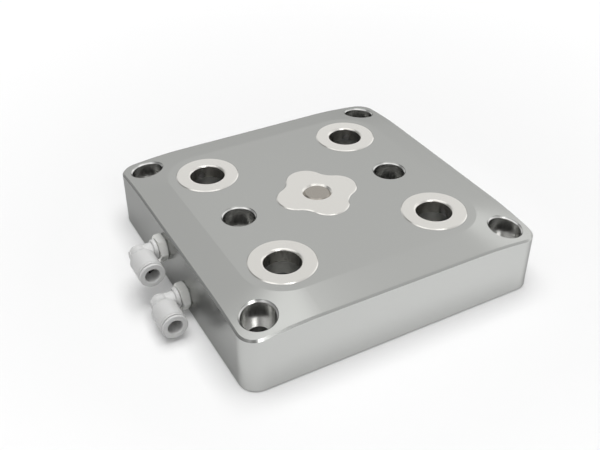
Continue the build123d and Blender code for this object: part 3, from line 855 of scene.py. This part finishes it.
def screw_mesh(name, foot, end, shank, head, head_height, key, key_depth, pitch):
    """Countersunk screw, head down, with a hexagonal key socket and a thread."""
    groove = groove_share * pitch
    start = foot + head_height + plain_neck
    steps = int((end - thread_stop - start) / pitch * rows_per_turn)
    rows = [
        ("circle", drill_width * key, foot + key_depth + drill_point * key),
        ("key", key, foot + key_depth),
        ("key", key, foot + key_bevel_depth),
        ("circle", key / math.sqrt(3) + key_bevel, foot),
        ("circle", head - head_bevel, foot),
        ("circle", head, foot + head_bevel_depth),
        ("circle", shank, foot + head_height),
    ]
    for step in range(steps + 1):
        rows.append(("thread", shank, start + step * pitch / rows_per_turn))
    rows.append(("circle", shank - groove, end - point_bevel))
    rows.append(("circle", shank - groove - point_bevel, end))

    def reach(kind, size, height, angle):
        if kind == "key":
            return hexagon_reach(angle, size)
        if kind == "thread":
            climb = ((height - start) / pitch - angle / math.tau) % 1.0
            return size - groove * abs(2 * climb - 1)
        return size

    loops = []
    for kind, size, height in rows:
        loop = []
        for step in range(screw_sides):
            angle = math.tau * step / screw_sides
            radius = reach(kind, size, height, angle) * MM
            loop.append((radius * math.cos(angle), radius * math.sin(angle), height * MM))
        loops.append(loop)
    return closed_loft(name, loops)


print("points round a screw:", screw_sides)

# %% [markdown]
# Two sets of screws are fitted: four that hold the cover under the plate, on the
# diagonals, and four that pull the centre seat down from below.  Eight screws
# could be modelled one by one, but one mesh serves each set, and the circle tree
# fits it four times.

# %% The two sets of screws
screws_in_a_set = 4


def screw_set(name, node, sizes, circle_radius, first_angle):
    """Screws in place of a node, riding with the housing."""
    values = {
        "Count": screws_in_a_set,
        "Circle Radius": circle_radius * MM,
        "First Angle": first_angle,
        "Finish": black_oxide,
    }
    piece = grown(name, screw_mesh(name, **sizes), ring_tree, values)
    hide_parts(node)
    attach(piece, "base")


cover_screw = {
    "foot": 0.5,
    "end": 13.0,
    "shank": 2.43,
    "head": 4.98,
    "head_height": 2.5,
    "key": 3.0,
    "key_depth": 1.8,
    "pitch": 0.8,
}
seat_screw = {
    "foot": 31.2,
    "end": 38.8,
    "shank": 1.93,
    "head": 3.78,
    "head_height": 2.0,
    "key": 2.5,
    "key_depth": 1.2,
    "pitch": 0.7,
}
cover_screw_circle = math.hypot(*cover_screw_axis)
seat_screw_circle = 13.0
screw_set("cover_screw_set", "cover_screws", cover_screw, cover_screw_circle, math.pi / 4)
screw_set("seat_screw_set", "seat_screws", seat_screw, seat_screw_circle, 0.0)

# %% [markdown]
# The clamping springs are coiled from flat wire.  Their end coils lie closed and
# are ground flat, so that they stand square.  Blender's own spiral climbs evenly,
# so it can't close the end coils.  This tree bends a line of points into the
# coil, sweeps a rectangle along it and then cuts both ends level, the way a
# grinding wheel does.
#
# The sums for one point stand in a table.  Each row names a result, then the
# operation and what goes in: a number, an input of the tree or an earlier result.
# A point climbs by the wire's own height in the closed coils and by the open
# pitch between them.

# %% Sums for a point of the coil
coil_tree, coil_inputs = new_tree(
    "flat_wire_springs",
    {
        "Springs": "Int",
        "Points": "Int",
        "Turns": "Float",
        "Closed Turns": "Float",
        "Coil Radius": "Float",
        "Height": "Float",
        "Wire Width": "Float",
        "Wire Height": "Float",
        "Foot": "Float",
        "Circle Radius": "Float",
        "Finish": "Material",
    },
)
coil_sums = [
    ("last point", "SUBTRACT", "Points", 1.0),
    ("share", "DIVIDE", "point", "last point"),
    ("turned", "MULTIPLY", "share", "Turns"),
    ("end turns", "MULTIPLY", "Closed Turns", 2.0),
    ("open turns", "SUBTRACT", "Turns", "end turns"),
    ("closed rise", "MULTIPLY", "end turns", "Wire Height"),
    ("open rise", "SUBTRACT", "Height", "closed rise"),
    ("open pitch", "DIVIDE", "open rise", "open turns"),
    ("from foot coil", "SUBTRACT", "turned", "Closed Turns"),
    ("past foot coil", "MAXIMUM", "from foot coil", 0.0),
    ("turned open", "MINIMUM", "past foot coil", "open turns"),
    ("turned closed", "SUBTRACT", "turned", "turned open"),
    ("climbed closed", "MULTIPLY", "turned closed", "Wire Height"),
    ("z", "MULTIPLY_ADD", "turned open", "open pitch", "climbed closed"),
    ("angle", "MULTIPLY", "turned", math.tau),
    ("cosine", "COSINE", "angle"),
    ("sine", "SINE", "angle"),
    ("x", "MULTIPLY", "cosine", "Coil Radius"),
    ("y", "MULTIPLY", "sine", "Coil Radius"),
]
results = {"point": add(coil_tree, "GeometryNodeInputIndex").outputs[0]}
for result, operation, *terms in coil_sums:
    terms_in = {}
    for order, term in enumerate(terms):
        if isinstance(term, str):
            term = results[term] if term in results else coil_inputs[term]
        terms_in[order] = term
    sum_node = add(coil_tree, "ShaderNodeMath", terms_in, operation=operation)
    results[result] = sum_node.outputs[0]
print("sums for each point:", len(coil_sums))

# %% The wire of the coil
line = add(coil_tree, "GeometryNodeMeshLine", {"Count": coil_inputs["Points"]}).outputs[0]
on_coil = add(
    coil_tree,
    "ShaderNodeCombineXYZ",
    {"X": results["x"], "Y": results["y"], "Z": results["z"]},
).outputs[0]
helix = add(coil_tree, "GeometryNodeSetPosition", {"Geometry": line, "Position": on_coil})
curve = add(coil_tree, "GeometryNodeMeshToCurve", {"Mesh": helix.outputs[0]})
upright_curve = add(
    coil_tree, "GeometryNodeSetCurveNormal", {"Curve": curve.outputs[0]}, mode="Z_UP"
)
section = add(
    coil_tree,
    "GeometryNodeCurvePrimitiveQuadrilateral",
    {"Width": coil_inputs["Wire Width"], "Height": coil_inputs["Wire Height"]},
)
wire = add(
    coil_tree,
    "GeometryNodeCurveToMesh",
    {
        "Curve": upright_curve.outputs[0],
        "Profile Curve": section.outputs[0],
        "Fill Caps": True,
    },
)
print("nodes up to the wire:", len(coil_tree.nodes))

# %% The ends ground, and the springs in their circle
as_coiled = add(coil_tree, "GeometryNodeInputPosition").outputs[0]
coiled = add(coil_tree, "ShaderNodeSeparateXYZ", {"Vector": as_coiled}).outputs
ground_z = add(
    coil_tree,
    "ShaderNodeClamp",
    {"Value": coiled["Z"], "Min": 0.0, "Max": coil_inputs["Height"]},
).outputs[0]
standing_z = add(
    coil_tree, "ShaderNodeMath", {0: ground_z, 1: coil_inputs["Foot"]}, operation="ADD"
).outputs[0]
as_ground = add(
    coil_tree, "ShaderNodeCombineXYZ", {"X": coiled["X"], "Y": coiled["Y"], "Z": standing_z}
).outputs[0]
spring = add(
    coil_tree,
    "GeometryNodeSetPosition",
    {"Geometry": wire.outputs[0], "Position": as_ground},
)
spring_circle = add(
    coil_tree,
    "GeometryNodeMeshCircle",
    {"Vertices": coil_inputs["Springs"], "Radius": coil_inputs["Circle Radius"]},
)
spring_copies = add(
    coil_tree,
    "GeometryNodeInstanceOnPoints",
    {"Points": spring_circle.outputs[0], "Instance": spring.outputs[0]},
)
close_tree(coil_tree, coil_inputs, spring_copies.outputs[0])
print("nodes in the spring tree:", len(coil_tree.nodes))

# %% [markdown]
# The four springs stand between the piston and the roof of the housing.  They
# could ride up with the piston, but then their heads would run into the roof.
# The heads stay where they are, so the set rides on the base.

# %% The clamping springs
spring_names = ["clamp_spring_" + side for side in ("right", "left", "back", "front")]
spring_low, spring_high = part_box("clamp_spring_right")
spring_middle = (spring_low + spring_high) / 2
spring_height = spring_high.z - spring_low.z
spring_turns = 6.5
points_per_turn = 48
wire_width = 1.6 * MM
springs = grown(
    "clamping_spring_set",
    bpy.data.meshes.new("spring_seed"),
    coil_tree,
    {
        "Springs": len(spring_names),
        "Points": int(spring_turns * points_per_turn) + 1,
        "Turns": spring_turns,
        "Closed Turns": 1.0,
        "Coil Radius": (spring_high.y - spring_low.y) / 2 - wire_width / 2,
        "Height": spring_height,
        "Wire Width": wire_width,
        "Wire Height": 1.5 * MM,
        "Foot": spring_low.z,
        "Circle Radius": spring_middle.x,
        "Finish": spring_wire,
    },
)
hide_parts(*spring_names)
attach(springs, "base")
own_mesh(springs)

# %% [markdown]
# Behind each release sleeve sits a stamped stainless ring.  Its hoop lies towards
# the mouth and its twelve sprung fingers lean inwards behind it, so that they bite
# when the tube is pulled and open when the sleeve is pressed.  A toothed cone
# would look alike from the mouth, but it has no gaps between its teeth.  One
# finger is bent from thin plate, the circle tree sets twelve of them round the
# tube's axis, and the hoop is added round their roots.  It is all made upright
# and then laid down.

# %% Fingers and hoops


def finger_mesh(rows):
    """Bent finger from rows of height, inner radius, outer radius and half angle."""
    loops = []
    for height, inner, outer, half in rows:
        loop = []
        for radius, angles in ((inner, (-half, 0, half)), (outer, (half, 0, -half))):
            for angle in angles:
                turn = math.radians(angle)
                reach = radius * MM
                loop.append((reach * math.cos(turn), reach * math.sin(turn), height * MM))
        loops.append(loop)
    return closed_loft("grip_finger", loops)


def spin_ring(shape, profile, sides):
    """Add a ring to a shape: a closed profile of (radius, height) spun round Z."""
    loops = []
    for step in range(sides):
        turn = math.tau * step / sides
        ring = [(r * MM * math.cos(turn), r * MM * math.sin(turn), z * MM) for r, z in profile]
        loops.append([shape.verts.new(point) for point in ring])
    faces = []
    for step, loop in enumerate(loops):
        after = loops[(step + 1) % sides]
        for side in range(len(loop)):
            other = (side + 1) % len(loop)
            faces.append(shape.faces.new((loop[side], loop[other], after[other], after[side])))
    bmesh.ops.recalc_face_normals(shape, faces=faces)


finger_count = 12
finger_rows = [
    (0.9, 5.15, 5.75, 11.0),
    (1.3, 5.13, 5.73, 11.0),
    (2.2, 4.72, 5.35, 10.2),
    (3.0, 4.36, 4.98, 9.4),
    (3.2, 4.32, 4.55, 9.2),
]
hoop_sides = 72
hoop_inner, hoop_outer, hoop_foot, hoop_top = 5.08, 5.82, 0.05, 1.2
hoop_profile = [
    (hoop_inner, hoop_foot),
    (hoop_outer, hoop_foot),
    (hoop_outer, hoop_top),
    (hoop_inner, hoop_top),
]
print("grip fingers in each elbow:", finger_count)

# %% Tube grips

# Lays an upright ring down, so that its height runs inwards from the mouth along Y.
laid_down = Matrix(((1, 0, 0, 0), (0, 0, 1, 0), (0, -1, 0, 0), (0, 0, 0, 1)))
for level_name in ("upper", "lower"):
    low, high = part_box("tube_grip_" + level_name)
    piece = grown(
        "finger_ring_" + level_name,
        finger_mesh(finger_rows),
        ring_tree,
        {"Count": finger_count, "Circle Radius": 0.0, "First Angle": 0.0, "Finish": grip_steel},
    )
    shape = bmesh.new()
    shape.from_mesh(piece.data)
    spin_ring(shape, hoop_profile, hoop_sides)
    shape.to_mesh(piece.data)
    shape.free()
    mouth = Vector(((low.x + high.x) / 2, low.y, (low.z + high.z) / 2))
    piece.data.transform(Matrix.Translation(mouth) @ laid_down)
    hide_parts("tube_grip_" + level_name)
    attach(piece, "elbow_unit_" + level_name)
print("corners in a grip:", len(piece.data.vertices))

# %% [markdown]
# Under each hexagonal collar lies a nylon washer that seals the port.  The collar
# squeezes it, so its edge bulges until it all but fills the gap.  A torus would
# bulge on the inside as well, so the washer is spun from a profile that is
# rounded on its rim only, and laid against the side of the plate.

# %% Sealing washers
washer_reach = 7.1
washer_bore = 5.1
washer_sides = 96
rim_steps = 6
rim_turns = [math.pi * step / rim_steps for step in range(rim_steps + 1)]
# Lays an upright washer on its side, so that its height runs to the left along X.
laid_left = Matrix(((0, 0, -1, 0), (0, 1, 0, 0), (1, 0, 0, 0), (0, 0, 0, 1)))
for level_name in ("upper", "lower"):
    low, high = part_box("port_gasket_" + level_name)
    thick = (high.x - low.x) / MM
    bulge = thick / 2
    profile = [(washer_bore, thick), (washer_bore, 0.0)]
    for turn in rim_turns:
        radius = washer_reach - bulge * (1 - math.sin(turn))
        profile.append((radius, bulge * (1 - math.cos(turn))))
    shape = bmesh.new()
    spin_ring(shape, profile, washer_sides)
    washer_mesh = bpy.data.meshes.new("sealing_washer_" + level_name)
    shape.to_mesh(washer_mesh)
    shape.free()
    port = Vector((high.x, (low.y + high.y) / 2, (low.z + high.z) / 2))
    washer_mesh.transform(Matrix.Translation(port) @ laid_left)
    washer_mesh.materials.append(nylon)
    piece = stand("sealing_washer_" + level_name, washer_mesh)
    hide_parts("port_gasket_" + level_name)
    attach(piece, "base")
print("washer thickness:", round(thick, 2), "mm")
